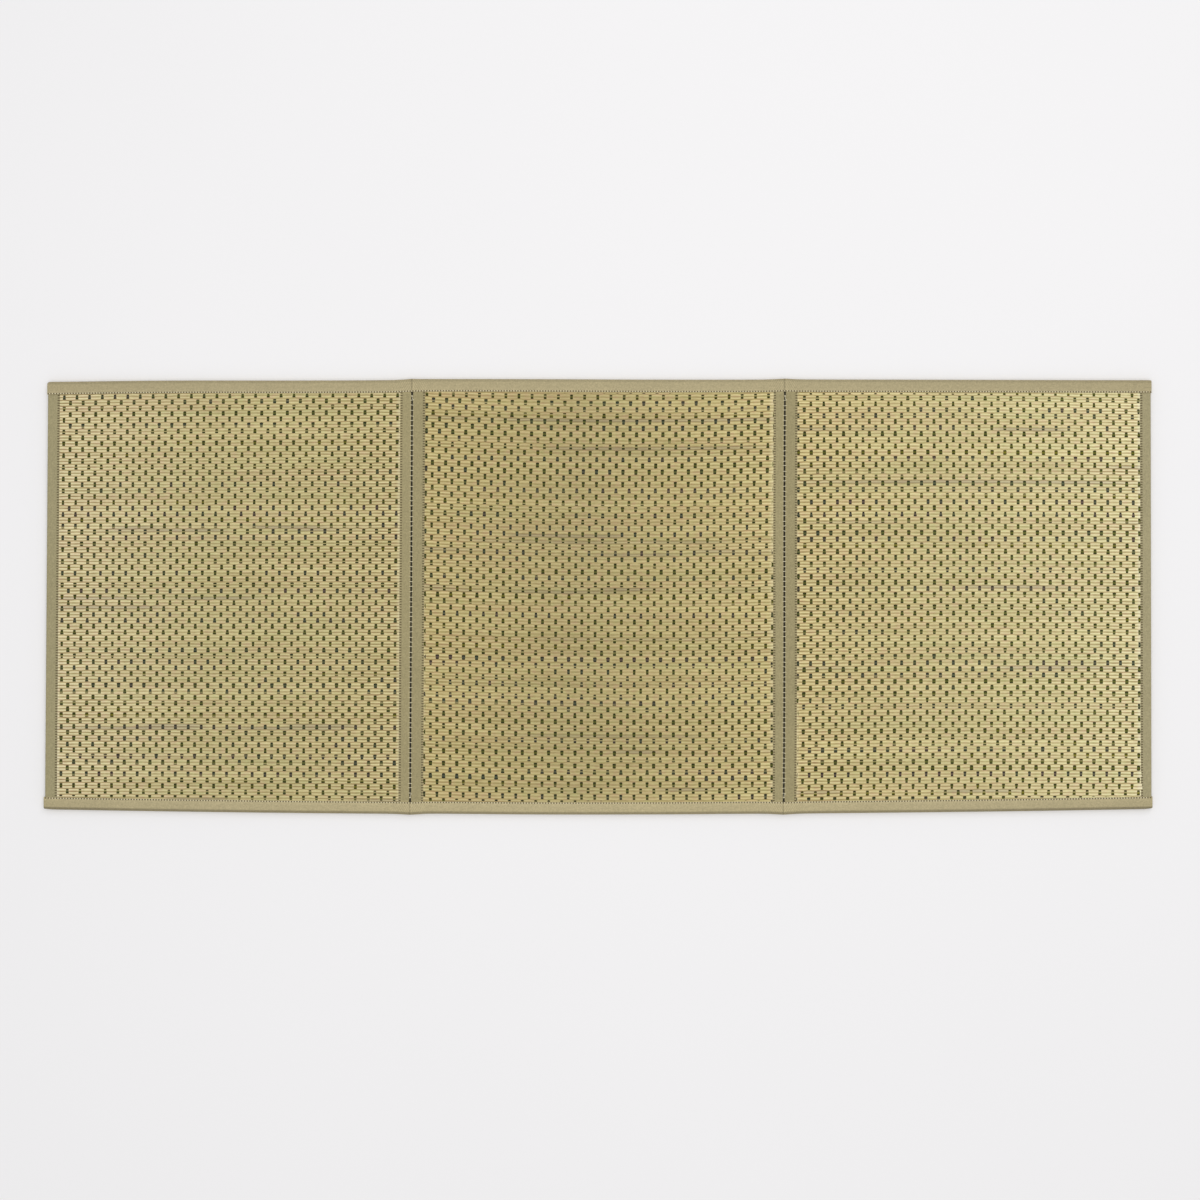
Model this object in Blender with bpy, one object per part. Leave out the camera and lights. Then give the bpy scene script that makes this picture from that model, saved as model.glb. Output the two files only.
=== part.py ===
"""Woven rush mat that folds in three, laid out flat with its face up.

Three rush panels lie side by side along X. A cloth binding is folded over each of their edges:
one along each long side of the whole mat, one on each end and one on each side of the two folds.
The long bindings go on last, so they cover the ends of the short ones.
Units are metres, +Z is up, and the origin is under the middle of the mat on the surface it lies on.
"""

import math
from collections import namedtuple

import bmesh
import bpy

MM = 0.001

# Heights
FIELD_TOP = 10.0 * MM
BINDING_TOP = 9.8 * MM
# The long bindings rise a little where they pass over the short ones, which sink a little there.
CROSSING_TOP = 10.2 * MM
TUCKED_TOP = 9.1 * MM
# Cloth folded over an edge, and the clearance between neighbours
CLOTH = 0.8 * MM
GAP = 0.3 * MM
STACK = CLOTH + GAP
EDGE_RADIUS = 2.2 * MM
EDGE_STEPS = 3
# The panels' rounded rim inside that fold
RIM_RADIUS = EDGE_RADIUS - STACK
RIM_STEPS = 2
# How far beside a binding's sewn edge the rush comes back up to its full thickness
RISE_FROM = 0.3 * MM
RISE_TO = 2.3 * MM
# Short bindings end this far inside the long edges of the panels.
END_SETBACK = 1.5 * MM
# The open slit between the two bindings of a fold, and the crease of the long bindings over it
SLIT = 2.4 * MM
CREASE = 0.3 * MM
CREASE_REACH = 1.5 * MM

# The mat's long edges are a little bowed and stand out at the folds.
Station = namedtuple("Station", "x back front")
OUTLINE = [Station(*(value * MM for value in row)) for row in (
    (-900, 350.0, -346.6),
    (-700, 352.2, -349.9),
    (-500, 352.3, -352.4),
    (-340, 353.0, -353.9),
    (-305, 354.2, -354.6),
    (-270, 354.7, -353.7),
    (-100, 354.5, -354.9),
    (100, 353.7, -354.8),
    (260, 353.8, -353.8),
    (303, 354.6, -354.4),
    (340, 354.1, -353.4),
    (500, 353.7, -351.7),
    (700, 353.2, -349.3),
    (900, 352.8, -346.0),
)]

# Short bindings, left to right: the outer face at the back and at the front edge, the width seen
# from above, and the way the folded cloth runs from that face.
Strip = namedtuple("Strip", "node back front sway width way")
STRIPS = [Strip(node, back * MM, front * MM, sway * MM, width * MM, way)
          for node, back, front, sway, width, way in (
    ("binding_left_end", -896.1, -901.4, 0.0, 18.5, 1),
    ("binding_fold_1_left", -304.1, -307.6, 0.0, 18.2, -1),
    ("binding_fold_1_right", -301.7, -305.2, 0.0, 19.4, 1),
    ("binding_fold_2_left", 303.4, 301.1, 0.4, 17.4, -1),
    ("binding_fold_2_right", 305.8, 303.5, 0.4, 17.4, 1),
    ("binding_right_end", 900.5, 901.9, 0.0, 18.5, -1),
)]
PANELS = ("rush_panel_left", "rush_panel_middle", "rush_panel_right")

# Long bindings: the width seen from above, the way the cloth runs from the outer face, and how
# far the turned-in ends stand out past the end bindings.
Long = namedtuple("Long", "node width way left_end right_end")
LONGS = [Long(node, width * MM, way, left * MM, right * MM)
         for node, width, way, left, right in (
    ("binding_back", 20.8, -1, 1.6, 1.2),
    ("binding_front", 20.2, 1, 2.1, 1.6),
)]

# Half of the mat's depth at its middle, and the parts that a panel's field is divided into
HALF_DEPTH = 354.0 * MM
FIELD_PARTS = 4
SHARP_FROM = math.radians(35)

Finish = namedtuple("Finish", "name colour roughness")
RUSH = Finish("woven_rush", (0.50, 0.42, 0.22), 0.75)
BINDING = Finish("binding_cloth", (0.37, 0.33, 0.18), 0.85)


def through(rows, name, x):
    """The named column of the outline at x, on a smooth curve through the rows."""
    last = len(rows) - 2
    i = next((k for k in range(last) if x < rows[k + 1].x), last)
    a, b = rows[i], rows[i + 1]
    span = b.x - a.x

    def slope(k):
        low, high = rows[max(k - 1, 0)], rows[min(k + 1, len(rows) - 1)]
        return (getattr(high, name) - getattr(low, name)) / (high.x - low.x)

    t = (x - a.x) / span
    t2, t3 = t * t, t * t * t
    return (
        (2 * t3 - 3 * t2 + 1) * getattr(a, name)
        + (t3 - 2 * t2 + t) * span * slope(i)
        + (3 * t2 - 2 * t3) * getattr(b, name)
        + (t3 - t2) * span * slope(i + 1)
    )


def back_edge(x):
    return through(OUTLINE, "back", x)


def front_edge(x):
    return through(OUTLINE, "front", x)


def strip_face(strip, y):
    """X of a short binding's outer face: a straight line, or one that sways a little."""
    t = 0.5 + 0.5 * y / HALF_DEPTH
    return strip.front + (strip.back - strip.front) * t + strip.sway * math.sin(2 * math.pi * t)


def ramp(distance, width):
    """0 under a binding of that width, 1 in the field beside it."""
    t = (distance - width - RISE_FROM) / (RISE_TO - RISE_FROM)
    return min(max(t, 0.0), 1.0)


def mix(a, b, t):
    return a + (b - a) * t


def open_along(x, y):
    """How clear a point is of the two long bindings, from 0 under one to 1 in the field."""
    back, front = LONGS
    return min(ramp(back_edge(x) - y, back.width), ramp(y - front_edge(x), front.width))


def new_object(name, build, finish):
    """An object of that name, whose mesh is what build puts in a new bmesh."""
    bm = bmesh.new()
    build(bm)
    bmesh.ops.recalc_face_normals(bm, faces=bm.faces)
    if max(bm.faces, key=lambda face: face.calc_center_median().z).normal.z < 0:
        bmesh.ops.reverse_faces(bm, faces=bm.faces)
    mesh = bpy.data.meshes.new(name)
    bm.to_mesh(mesh)
    bm.free()
    mesh.materials.append(finish)
    mesh.shade_smooth()
    mesh.set_sharp_from_angle(angle=SHARP_FROM)
    obj = bpy.data.objects.new(name, mesh)
    bpy.context.scene.collection.objects.link(obj)
    return obj


def material(finish):
    made = bpy.data.materials.new(finish.name)
    made.use_nodes = True
    shader = made.node_tree.nodes["Principled BSDF"]
    shader.inputs["Base Color"].default_value = (*finish.colour, 1.0)
    shader.inputs["Roughness"].default_value = finish.roughness
    shader.inputs["Metallic"].default_value = 0.0
    return made


def laid_grid(bm, columns, rows, place):
    """A grid of that many points each way, each moved to where place says by its column and row."""
    bmesh.ops.create_grid(bm, x_segments=columns - 1, y_segments=rows - 1, size=0.5)
    verts = {}
    for vert in bm.verts:
        column = round((vert.co.x + 0.5) * (columns - 1))
        row = round((vert.co.y + 0.5) * (rows - 1))
        verts[column, row] = vert
        vert.co = place(column, row)
    return verts


def rim_drop(distance):
    """How far a panel's rounded rim lies under its flat at that distance from its edge."""
    inward = max(RIM_RADIUS - distance, 0.0)
    return RIM_RADIUS - math.sqrt(max(RIM_RADIUS * RIM_RADIUS - inward * inward, 0.0))


def side_stations(width):
    """Distances from a panel's edge: the rounded rim, the covered band, the start of the field."""
    turns = (math.pi / 2 * k / RIM_STEPS for k in range(RIM_STEPS + 1))
    rim = [RIM_RADIUS * (1 - math.cos(turn)) for turn in turns]
    return [*rim, width - STACK + RISE_FROM, width - STACK + RISE_TO]


def panel_stations(low_width, high_width):
    """Stations across a panel, each a function of the places of its two edges."""
    low, high = side_stations(low_width), side_stations(high_width)
    stations = [lambda a, b, d=d: a + d for d in low]
    for k in range(1, FIELD_PARTS):
        stations.append(lambda a, b, t=k / FIELD_PARTS: mix(a + low[-1], b - high[-1], t))
    return stations + [lambda a, b, d=d: b - d for d in reversed(high)]


def panel(name, left, right, finish):
    """A rush panel between two short bindings, drawn in where the cloth covers its edges."""
    back, front = LONGS
    across = panel_stations(left.width, right.width)
    along = panel_stations(front.width, back.width)

    def edges(x, y):
        """The panel's left, right, front and back edges beside that point."""
        return (strip_face(left, y) + STACK, strip_face(right, y) - STACK,
                front_edge(x) + STACK, back_edge(x) - STACK)

    def spot(column, row):
        """The edges lean a little on each other, so the point settles in a few rounds."""
        x = y = 0.0
        for _ in range(4):
            x = across[column](*edges(x, y)[:2])
            y = along[row](*edges(x, y)[2:])
        return x, y

    def bottom_and_top(x, y):
        low_x, high_x, low_y, high_y = edges(x, y)
        free_x = min(ramp(x - low_x + STACK, left.width), ramp(high_x + STACK - x, right.width))
        free_y = open_along(x, y)
        drop = rim_drop(min(x - low_x, high_x - x)) + rim_drop(min(y - low_y, high_y - y))
        top = mix(mix(TUCKED_TOP, BINDING_TOP, free_y) - STACK,
                  mix(BINDING_TOP - STACK, FIELD_TOP, free_y), free_x)
        bottom = mix(mix(2 * STACK, STACK, free_y), mix(STACK, 0.0, free_y), free_x)
        return bottom + drop, top - drop

    def underside(column, row):
        x, y = spot(column, row)
        return x, y, bottom_and_top(x, y)[0]

    def build(bm):
        laid_grid(bm, len(across), len(along), underside)
        face = bmesh.ops.extrude_face_region(bm, geom=bm.faces[:], use_keep_orig=True)["geom"]
        for vert in (item for item in face if isinstance(item, bmesh.types.BMVert)):
            vert.co.z = bottom_and_top(vert.co.x, vert.co.y)[1]

    return new_object(name, build, finish)


def folded_section(width, bottom, top):
    """The outer face of a folded binding: (distance from its outermost line, height) pairs."""
    turns = [math.pi / 2 * k / EDGE_STEPS for k in range(EDGE_STEPS + 1)]
    r = EDGE_RADIUS
    upper = [(r - r * math.sin(turn), top - r + r * math.cos(turn)) for turn in turns]
    lower = [(r - r * math.cos(turn), bottom + r - r * math.sin(turn)) for turn in turns]
    return [(width, top), *upper, *lower, (width, bottom)]


def folded_cloth(name, sections, finish, closed_ends=False):
    """Cloth whose outer face runs through a row of sections, with its thickness inside it."""

    def build(bm):
        columns, rows = len(sections), len(sections[0])
        verts = laid_grid(bm, columns, rows, lambda i, j: sections[i][j])
        for column in (0, columns - 1) if closed_ends else ():
            bm.faces.new([verts[column, row] for row in range(rows)])

    obj = new_object(name, build, finish)
    solid = obj.modifiers.new("cloth thickness", "SOLIDIFY")
    solid.thickness = CLOTH
    solid.offset = -1.0
    solid.use_even_offset = True
    return obj


def short_binding(strip, finish):
    """A binding folded over one short edge of a panel, its ends tucked under the long ones."""
    back, front = ([STACK + END_SETBACK, long.width + RISE_FROM, long.width + RISE_TO]
                   for long in LONGS)
    low, high = front_edge(strip.front), back_edge(strip.back)
    stations = [low + d for d in front]
    stations += [mix(low + front[-1], high - back[-1], k / FIELD_PARTS)
                 for k in range(1, FIELD_PARTS)]
    stations += [high - d for d in reversed(back)]
    sections = []
    for y in stations:
        face = strip_face(strip, y)
        free = open_along(face, y)
        section = folded_section(strip.width, mix(STACK, 0.0, free), mix(TUCKED_TOP, BINDING_TOP, free))
        sections.append([(face + strip.way * d, y, z) for d, z in section])
    return folded_cloth(strip.node, sections, finish)


def long_line(binding, y):
    """(x, height) of a long binding's sections: raised over the short ones, creased at a slit."""
    line = [(strip_face(STRIPS[0], y) - binding.left_end, CROSSING_TOP)]
    for left, right in zip(STRIPS[::2], STRIPS[1::2]):
        a, b = strip_face(left, y), strip_face(right, y)
        start, stop = a + left.width, b - right.width
        if left is not STRIPS[0]:
            line += [(a - SLIT / 2, CROSSING_TOP - CREASE), (a + CREASE_REACH, CROSSING_TOP)]
        line.append((start + RISE_FROM, CROSSING_TOP))
        line += [(mix(start + RISE_TO, stop - RISE_TO, k / FIELD_PARTS), BINDING_TOP)
                 for k in range(FIELD_PARTS + 1)]
        line.append((stop - RISE_FROM, CROSSING_TOP))
        if right is not STRIPS[-1]:
            line.append((b - CREASE_REACH, CROSSING_TOP))
    return [*line, (strip_face(STRIPS[-1], y) + binding.right_end, CROSSING_TOP)]


def long_binding(binding, finish):
    """A binding folded over a long side of the whole mat, its two ends turned in and closed."""
    edge = back_edge if binding.way < 0 else front_edge
    middle = -binding.way * (HALF_DEPTH - binding.width / 2)
    sections = [[(x, edge(x) + binding.way * d, z) for d, z in folded_section(binding.width, 0.0, top)]
                for x, top in long_line(binding, middle)]
    return folded_cloth(binding.node, sections, finish, closed_ends=True)


def centre(objects):
    """Moves the meshes so that the origin is under the middle of the whole mat."""
    points = [vert.co for obj in objects for vert in obj.data.vertices]
    middle = [(min(p[k] for p in points) + max(p[k] for p in points)) / 2 for k in (0, 1)]
    for obj in objects:
        for vert in obj.data.vertices:
            vert.co.x -= middle[0]
            vert.co.y -= middle[1]


def main():
    for obj in list(bpy.data.objects):
        bpy.data.objects.remove(obj, do_unlink=True)
    rush, cloth = material(RUSH), material(BINDING)
    made = [panel(name, *STRIPS[2 * k:2 * k + 2], rush) for k, name in enumerate(PANELS)]
    made += [short_binding(strip, cloth) for strip in STRIPS]
    made += [long_binding(binding, cloth) for binding in LONGS]
    centre(made)


main()
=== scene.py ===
"""Dressed model of a woven rush mat that folds in three, laid out flat and seen from straight above.

Picks of rush run along X. Dark warp threads cross every pick in a staggered weave, so each crossing
shows as a short dark float. Cloth bindings are folded over all the edges and sewn through, and light
stitches join the two bindings of each fold. Units are metres and +Z is up.
"""

import math
from collections import namedtuple

import bmesh
import bpy
import numpy as np
from bpy.props import FloatProperty, FloatVectorProperty, PointerProperty
from mathutils import Matrix, Vector


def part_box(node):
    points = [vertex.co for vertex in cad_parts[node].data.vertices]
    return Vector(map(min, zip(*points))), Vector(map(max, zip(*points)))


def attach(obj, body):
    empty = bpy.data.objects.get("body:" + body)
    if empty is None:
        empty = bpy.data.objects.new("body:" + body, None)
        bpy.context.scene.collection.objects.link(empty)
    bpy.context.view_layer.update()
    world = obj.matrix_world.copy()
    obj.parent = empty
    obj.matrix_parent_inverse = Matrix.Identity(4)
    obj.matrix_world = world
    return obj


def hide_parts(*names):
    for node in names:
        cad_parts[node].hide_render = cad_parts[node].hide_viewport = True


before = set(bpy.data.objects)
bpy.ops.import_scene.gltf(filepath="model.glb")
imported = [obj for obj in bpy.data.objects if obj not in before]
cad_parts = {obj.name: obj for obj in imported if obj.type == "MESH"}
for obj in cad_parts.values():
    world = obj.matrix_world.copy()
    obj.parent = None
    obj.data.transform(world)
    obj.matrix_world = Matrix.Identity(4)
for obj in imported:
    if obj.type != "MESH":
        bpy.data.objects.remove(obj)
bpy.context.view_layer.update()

bl_info = {
    "name": "Folding Rush Mat",
    "version": (1, 0, 0),
    "blender": (4, 5, 0),
    "location": "3D View > Sidebar > Rush Mat",
    "description": "Builds a woven rush mat with sewn cloth bindings, its stage and its camera",
    "category": "Object",
}

MM = 0.001


def srgb(red, green, blue):
    """A colour as picked on a screen, from 0 to 255, in the linear values that shaders use."""
    def linear(part):
        part /= 255
        return part / 12.92 if part <= 0.04045 else ((part + 0.055) / 1.055) ** 2.4
    return (linear(red), linear(green), linear(blue))


def times(colour, factors):
    return tuple(part * factor for part, factor in zip(colour, factors))


# Sizes that the CAD model gives

# The whole mat was centred after its pieces were made.
SHIFT_X = -0.03 * MM
SHIFT_Y = 0.08 * MM
FIELD_TOP = 10.0 * MM
BINDING_TOP = 9.8 * MM
CROSSING_TOP = 10.2 * MM
TUCKED_TOP = 9.1 * MM
CLOTH = 0.8 * MM
GAP = 0.3 * MM
STACK = CLOTH + GAP
RISE_FROM = 0.3 * MM
RISE_TO = 2.3 * MM
END_SETBACK = 1.5 * MM
SLIT = 2.4 * MM
HALF_DEPTH = 354.0 * MM

# Y of the back and of the front edge at places along X
Station = namedtuple("Station", "x back front")
OUTLINE = [Station(*(value * MM for value in row)) for row in (
    (-900, 350.0, -346.6),
    (-700, 352.2, -349.9),
    (-500, 352.3, -352.4),
    (-340, 353.0, -353.9),
    (-305, 354.2, -354.6),
    (-270, 354.7, -353.7),
    (-100, 354.5, -354.9),
    (100, 353.7, -354.8),
    (260, 353.8, -353.8),
    (303, 354.6, -354.4),
    (340, 354.1, -353.4),
    (500, 353.7, -351.7),
    (700, 353.2, -349.3),
    (900, 352.8, -346.0),
)]

# X of each short binding's outer face at the back and at the front, how far it sways between them, how
# far its cloth is turned over (up to 2 mm more or less than in its solid), and the way the cloth lies
Strip = namedtuple("Strip", "node back front sway width way")
STRIPS = [Strip(node, back * MM, front * MM, sway * MM, width * MM, way)
          for node, back, front, sway, width, way in (
    ("binding_left_end", -896.1, -901.4, 0.0, 19.3, 1),
    ("binding_fold_1_left", -304.1, -307.6, 0.0, 17.5, -1),
    ("binding_fold_1_right", -301.7, -305.2, 0.0, 20.0, 1),
    ("binding_fold_2_left", 303.4, 301.1, 0.4, 16.8, -1),
    ("binding_fold_2_right", 305.8, 303.5, 0.4, 19.2, 1),
    ("binding_right_end", 900.5, 901.9, 0.0, 17.4, -1),
)]

# How far the long bindings reach past the short ones at their ends, the radii of their corners, and
# how dark the painted shade on their outer edge is
Long = namedtuple("Long", "node width way left_end right_end left_corner right_corner shade")
LONGS = [Long(node, width * MM, way, left * MM, right * MM, left_corner * MM, right_corner * MM, shade)
         for node, width, way, left, right, left_corner, right_corner, shade in (
    ("binding_back", 20.8, -1, 1.6, 1.2, 5.0, 2.4, 0.16),
    ("binding_front", 20.2, 1, 2.1, 1.6, 2.2, 2.6, 0.40),
)]

# The weave of each panel: the spacing of the warp across it and of the picks along it, the place of
# one float, how far the warp leans (at the back, the middle and the front), how far it is drawn to
# the right near both sides and skewed at opposite corners, how far the picks bow (at their left end,
# middle and right end) for a pick near the back and one near the front, how far they are crowded
# towards the front beside the back binding, how strong the lines between the stalks are, and how
# light the rush is at the left, middle and right, partly the panel's own tone and partly painted sheen.
Weave = namedtuple("Weave", "node column row x y lean drawn skew bow_back bow_front crowd lines tones")
LEAN_AT = 268 * MM
WEAVES = (
    Weave("rush_panel_left", 10.443, 9.642, -603.6, -33.8, (3.0, 0.2, -1.6), 2.3, 0.0,
          (-1.7, 0.0, 1.7), (1.3, 0.0, -1.3), (2.0, 0.2, 1.2), 0.85,
          ((0.81, 0.84, 0.94), (0.68, 0.71, 0.71), (0.69, 0.70, 0.67))),
    Weave("rush_panel_middle", 10.698, 10.167, -4.9, -35.2, (3.4, 0.2, -0.8), 0.0, 0.0,
          (6.4, -0.8, 2.8), (4.5, -1.6, 0.1), (0.3, 0.3, 1.2), 0.50,
          ((0.65, 0.64, 0.56), (0.56, 0.56, 0.515), (0.71, 0.71, 0.64))),
    Weave("rush_panel_right", 10.502, 10.115, 589.9, -35.6, (-0.8, 0.0, -2.4), -1.7, -0.7,
          (2.2, 2.7, 0.4), (2.0, 4.8, 3.9), (3.0, 3.2, 5.6), 0.75,
          ((0.74, 0.735, 0.68), (0.75, 0.785, 0.79), (0.89, 0.95, 1.03))),
)

# How much lighter or darker the cloth of each binding is than the binding colour
STRIP_TONES = (
    (0.84, 0.85, 0.80),
    (0.86, 0.85, 0.76),
    (0.83, 0.82, 0.73),
    (0.87, 0.86, 0.77),
    (0.82, 0.81, 0.72),
    (0.90, 0.91, 0.88),
)
LONG_TONES = ((1.03, 1.01, 0.99), (1.13, 1.11, 1.08))

# Places across one pick, and how far the rush lies under the crest there: two bundles of stalks
PICK_PLACES = (0.0, 0.13, 0.30, 0.49, 0.70, 0.87)
PICK_DEPTHS = (1.0, 0.34, 0.0, 0.44, 0.0, 0.36)
# A pick narrows at its own floats and bulges between them, by this share of the row.
BULGE = 0.032
# Places along a float, from its back end to its front end
FLOAT_ALONG = (-1.0, -0.82, -0.5, 0.0, 0.5, 0.82, 1.0)
# How many random numbers the picks draw from, and the floats each way
ROW_NUMBERS = 400
FLOAT_NUMBERS = 256
# How many warps and picks the next panel's map is moved on, more than a panel has
PANEL_WARPS = 200.0
PANEL_PICKS = 100.0
# Half the width and half the length of a float's strip before it is shaped, as shares of a step
STRIP_HALF_WIDTH = 0.3
STRIP_HALF_LENGTH = 0.4
# How far a panel's outermost edges are rounded off, above and below
RIM_DROP = 0.6 * MM
# How thick the cloth is drawn, a little thinner than its solid
CLOTH_DRAWN = 0.7 * MM
# A binding's flat width is twice the width that shows, and this much for the mat's edge.
# A binding's hem sinks by this much towards its sewn line, over this width.
HEM_SINK = 0.35 * MM
HEM_WIDTH = 2.6 * MM
# The curve of a binding where it turns over the mat's edge
TURN_RADIUS = 2.2 * MM


class MatSizes(bpy.types.PropertyGroup):
    """Sizes of the weave and of the sewing."""

    crest: FloatProperty(
        name="Rush crest", description="Height of the rush between its floats",
        default=10.35 * MM, unit="LENGTH")
    pressed: FloatProperty(
        name="Pressed rush", description="Height of the rush under a float",
        default=9.55 * MM, unit="LENGTH")
    groove: FloatProperty(
        name="Groove", description="Depth of the groove between two picks",
        default=0.45 * MM, unit="LENGTH")
    float_width: FloatProperty(
        name="Float width", description="Width of a warp float at its ends",
        default=6.1 * MM, unit="LENGTH")
    stitch: FloatProperty(
        name="Stitch", description="Length of one stitch along the bindings",
        default=4.5 * MM, unit="LENGTH")
    cross_stitch: FloatProperty(
        name="Cross stitch", description="Space between two stitches across the short bindings",
        default=4.15 * MM, unit="LENGTH")
    ladder: FloatProperty(
        name="Ladder stitch", description="Space between two stitches across a fold",
        default=8.2 * MM, unit="LENGTH")


class MatColours(bpy.types.PropertyGroup):
    """Colours of the rush, the warp, the bindings and the thread."""

    rush: FloatVectorProperty(
        name="Rush", description="Mean colour of the rush", subtype="COLOR",
        default=srgb(205, 188, 137))
    warp: FloatVectorProperty(
        name="Warp", description="Colour of the warp floats", subtype="COLOR",
        default=srgb(74, 76, 34))
    cloth: FloatVectorProperty(
        name="Binding", description="Colour of the binding cloth", subtype="COLOR",
        default=srgb(176, 165, 130))
    thread: FloatVectorProperty(
        name="Thread", description="Colour of the sewing thread", subtype="COLOR",
        default=srgb(222, 213, 180))
    floor: FloatVectorProperty(
        name="Floor", description="Colour of the floor", subtype="COLOR",
        default=srgb(240, 239, 240))


# Shader nodes


class Value:
    """An output socket. Python's operators on it add Math nodes."""

    def __init__(self, shader, socket):
        self.shader = shader
        self.socket = socket

    def math(self, operation, *values):
        settings = {"operation": operation}
        return self.shader.add("ShaderNodeMath", settings, dict(enumerate(values)))

    def __add__(self, other):
        return self.math("ADD", self, other)

    def __sub__(self, other):
        return self.math("SUBTRACT", self, other)

    def __rsub__(self, other):
        return self.math("SUBTRACT", other, self)

    def __mul__(self, other):
        return self.math("MULTIPLY", self, other)

    def __truediv__(self, other):
        return self.math("DIVIDE", self, other)

    def __rtruediv__(self, other):
        return self.math("DIVIDE", other, self)

    def __pow__(self, other):
        return self.math("POWER", self, other)

    def __rpow__(self, other):
        return self.math("POWER", other, self)

    __radd__ = __add__
    __rmul__ = __mul__

    def floor(self):
        return self.math("FLOOR", self)

    def fract(self):
        return self.math("FRACT", self)

    def cos(self):
        return self.math("COSINE", self)

    def absolute(self):
        return self.math("ABSOLUTE", self)

    def least(self, other):
        return self.math("MINIMUM", self, other)

    def most(self, other):
        return self.math("MAXIMUM", self, other)

    def smooth(self, low, high):
        """0 below low, 1 above high, and a smooth rise between."""
        settings = {"interpolation_type": "SMOOTHSTEP"}
        inputs = {"Value": self, "From Min": low, "From Max": high, "To Min": 0.0, "To Max": 1.0}
        return self.shader.add("ShaderNodeMapRange", settings, inputs)


class Shader:
    """A material, and the nodes that are added to it."""

    def __init__(self, name, roughness, specular=0.5):
        self.material = bpy.data.materials.new(name)
        self.material.use_nodes = True
        self.nodes = self.material.node_tree.nodes
        self.links = self.material.node_tree.links
        self.surface = self.nodes["Principled BSDF"]
        self.surface.inputs["Roughness"].default_value = roughness
        self.surface.inputs["Specular IOR Level"].default_value = specular

    def add(self, kind, settings=None, inputs=None, output=0):
        """A node of that kind: its settings first, then its sockets' values or links."""
        node = self.nodes.new(kind)
        for key, value in (settings or {}).items():
            if key == "stops":
                ramp = node.color_ramp
                while len(ramp.elements) < len(value):
                    ramp.elements.new(1.0)
                for element, (place, colour) in zip(ramp.elements, value):
                    element.position = place
                    element.color = (*colour, 1.0)
            else:
                setattr(node, key, value)
        for key, value in (inputs or {}).items():
            self.put(node.inputs[key], value)
        return Value(self, node.outputs[output])

    def put(self, socket, value):
        if isinstance(value, Value):
            self.links.new(value.socket, socket)
        else:
            socket.default_value = value

    def feed(self, name, value):
        """Gives one of the surface's own sockets a link."""
        self.put(self.surface.inputs[name], value)

    def mixed(self, factor, first, second, blend="MIX"):
        settings = {"data_type": "RGBA", "blend_type": blend, "clamp_factor": True}
        inputs = {0: factor, 6: self.colour(first), 7: self.colour(second)}
        return self.add("ShaderNodeMix", settings, inputs, 2)

    @staticmethod
    def colour(value):
        return value if isinstance(value, Value) else (*value, 1.0)

    def scaled(self, colour, amount):
        """A colour made lighter or darker by a number."""
        settings = {"operation": "SCALE"}
        return self.add("ShaderNodeVectorMath", settings, {0: colour, "Scale": amount})

    def ramp(self, factor, stops):
        return self.add("ShaderNodeValToRGB", {"stops": stops}, {"Fac": factor})

    def vector(self, x, y, z=0.0):
        return self.add("ShaderNodeCombineXYZ", None, {"X": x, "Y": y, "Z": z})

    def axes(self, vector):
        """The three numbers of a vector."""
        first = self.add("ShaderNodeSeparateXYZ", None, {"Vector": vector})
        outputs = first.socket.node.outputs
        return [Value(self, outputs[k]) for k in range(3)]

    def noise(self, vector, scale, detail, roughness=0.5):
        inputs = {"Vector": vector, "Scale": scale, "Detail": detail, "Roughness": roughness}
        return self.add("ShaderNodeTexNoise", None, inputs)

    def grain(self, x, y, z=0.0, detail=1.0, roughness=0.5):
        """Noise that is drawn out by what x and y were multiplied by."""
        return self.noise(self.vector(x, y, z), 1.0, detail, roughness)

    def dice(self, x, y):
        """A random number from 0 to 1 that is the same wherever x and y are."""
        return self.add("ShaderNodeTexWhiteNoise", {"noise_dimensions": "2D"},
                        {"Vector": self.vector(x, y)})

    def uv(self, name):
        return self.axes(self.add("ShaderNodeUVMap", {"uv_map": name}))

    def picks(self):
        """Warps and picks counted, the number of the pick, and the place across it from 0 to 1."""
        u, v, _ = self.uv("weave")
        row = v.floor()
        return u, v, row, v - row

    def place(self):
        return self.add("ShaderNodeTexCoord", None, None, 3)

    def bump(self, height, distance, strength):
        inputs = {"Height": height, "Distance": distance, "Strength": strength}
        self.feed("Normal", self.add("ShaderNodeBump", None, inputs))


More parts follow.
